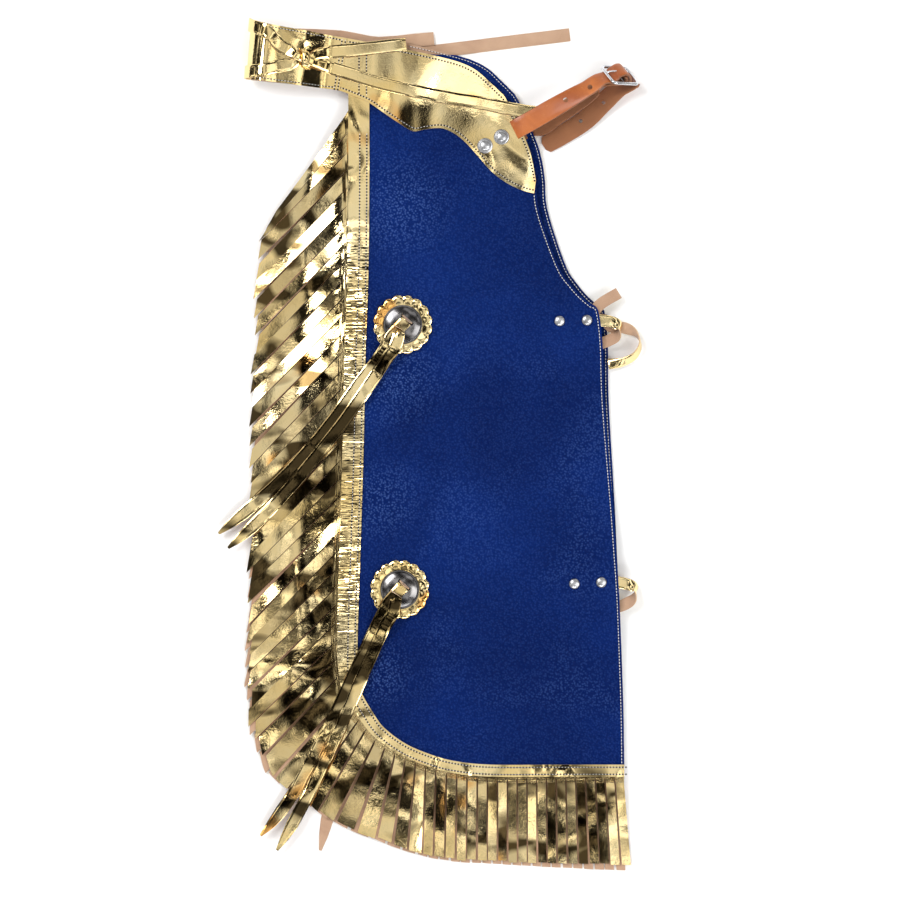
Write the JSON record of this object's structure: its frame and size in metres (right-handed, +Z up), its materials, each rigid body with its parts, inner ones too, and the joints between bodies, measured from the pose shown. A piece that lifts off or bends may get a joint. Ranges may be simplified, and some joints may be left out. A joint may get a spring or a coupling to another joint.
{
  "type": "bull riding chaps",
  "caption": "Leather riding leg covers folded flat: blue panels, gold fringe, scalloped yokes, lace-tied back belt, conchos with lace tails and a buckled front strap.",
  "frame": {"origin": "middle of the bounding box on the surface the folded chaps lie on", "axes": "+X from the back of the leg to the front edge, +Y from the hem to the waist, +Z up from the surface, towards the outer side of the near leg"},
  "size_m": [0.424, 0.8454, 0.0402],
  "materials": {
    "blue_leather": "pebbled",
    "gold_foil": "mirror foil",
    "tan_leather": "smooth oiled",
    "chrome": "polished",
    "silver": "dark polished"
  },
  "bodies": {
    "root": {"near_leg_panel": "blue_leather", "far_leg_panel": "blue_leather", "near_fringe": "gold_foil", "far_fringe": "gold_foil", "near_yoke": "gold_foil", "far_yoke": "gold_foil", "back_belt": "gold_foil", "back_lace_long": "gold_foil", "back_lace_short": "gold_foil", "near_rosette_upper": "gold_foil", "near_concho_upper": "silver", "near_rosette_lower": "gold_foil", "near_concho_lower": "silver", "far_rosette_upper": "gold_foil", "far_concho_upper": "silver", "far_rosette_lower": "gold_foil", "far_concho_lower": "silver", "near_thigh_rivet_upper_back": "chrome", "near_thigh_rivet_upper_front": "chrome", "near_thigh_rivet_lower_back": "chrome", "near_thigh_rivet_lower_front": "chrome", "near_strap_rivet_back": "chrome", "near_strap_rivet_front": "chrome", "far_thigh_rivet_upper_back": "chrome", "far_thigh_rivet_upper_front": "chrome", "far_thigh_rivet_lower_back": "chrome", "far_thigh_rivet_lower_front": "chrome", "far_strap_rivet_back": "chrome", "far_strap_rivet_front": "chrome", "near_concho_tie_upper": "gold_foil", "near_concho_tie_lower": "gold_foil", "far_concho_tie_upper": "gold_foil", "far_concho_tie_lower": "gold_foil", "near_thigh_tie_upper": "gold_foil", "near_thigh_tie_lower": "gold_foil", "far_thigh_tie_upper": "gold_foil", "far_thigh_tie_lower": "gold_foil", "buckle_frame": "chrome", "buckle_tongue": "chrome", "near_front_strap": "tan_leather", "far_front_strap": "tan_leather"}
  },
  "joints": []
}
